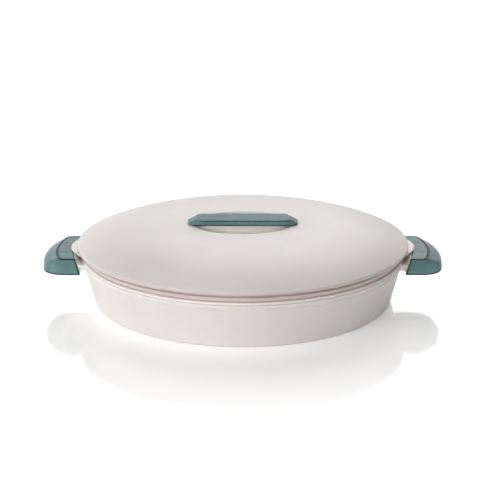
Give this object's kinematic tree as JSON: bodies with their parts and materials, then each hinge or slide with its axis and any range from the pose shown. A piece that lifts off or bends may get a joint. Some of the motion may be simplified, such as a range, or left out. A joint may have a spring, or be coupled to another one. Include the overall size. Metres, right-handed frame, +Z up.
{
  "type": "insulated chapati casserole",
  "caption": "Round insulated casserole for flatbreads: shallow base with side handles, lift-out grooved dish and lift-off domed lid with a grip bar over a finger well.",
  "frame": {"origin": "centre of the base's underside, on the table", "axes": "+Z up through the dish and the lid, +X towards the right handle, -Y towards the front"},
  "size_m": [0.3736, 0.3084, 0.0763],
  "materials": {
    "cream_plastic": "gloss",
    "liner_plastic": "satin",
    "foam": "matte",
    "teal_plastic": "translucent gloss",
    "white_glaze": "gloss"
  },
  "bodies": {
    "base": {"base_outer_shell": "cream_plastic", "base_inner_liner": "liner_plastic", "base_foam": "foam", "base_foam_plug": "liner_plastic", "left_handle_cap": "teal_plastic", "right_handle_cap": "teal_plastic"},
    "dish": {"dish": "white_glaze"},
    "lid": {"lid_outer_shell": "cream_plastic", "lid_inner_liner": "liner_plastic", "lid_foam": "foam", "lid_foam_plug": "liner_plastic", "lid_handle_bar": "teal_plastic"}
  },
  "joints": [
    {"name": "dish_lift", "type": "slide", "parent": "base", "child": "dish", "axis": [0, 0, 1], "range_m": [0, 0.0523]},
    {"name": "lid_lift", "type": "slide", "parent": "dish", "child": "lid", "axis": [0, 0, 1], "range_m": [0, 0.0298]}
  ]
}
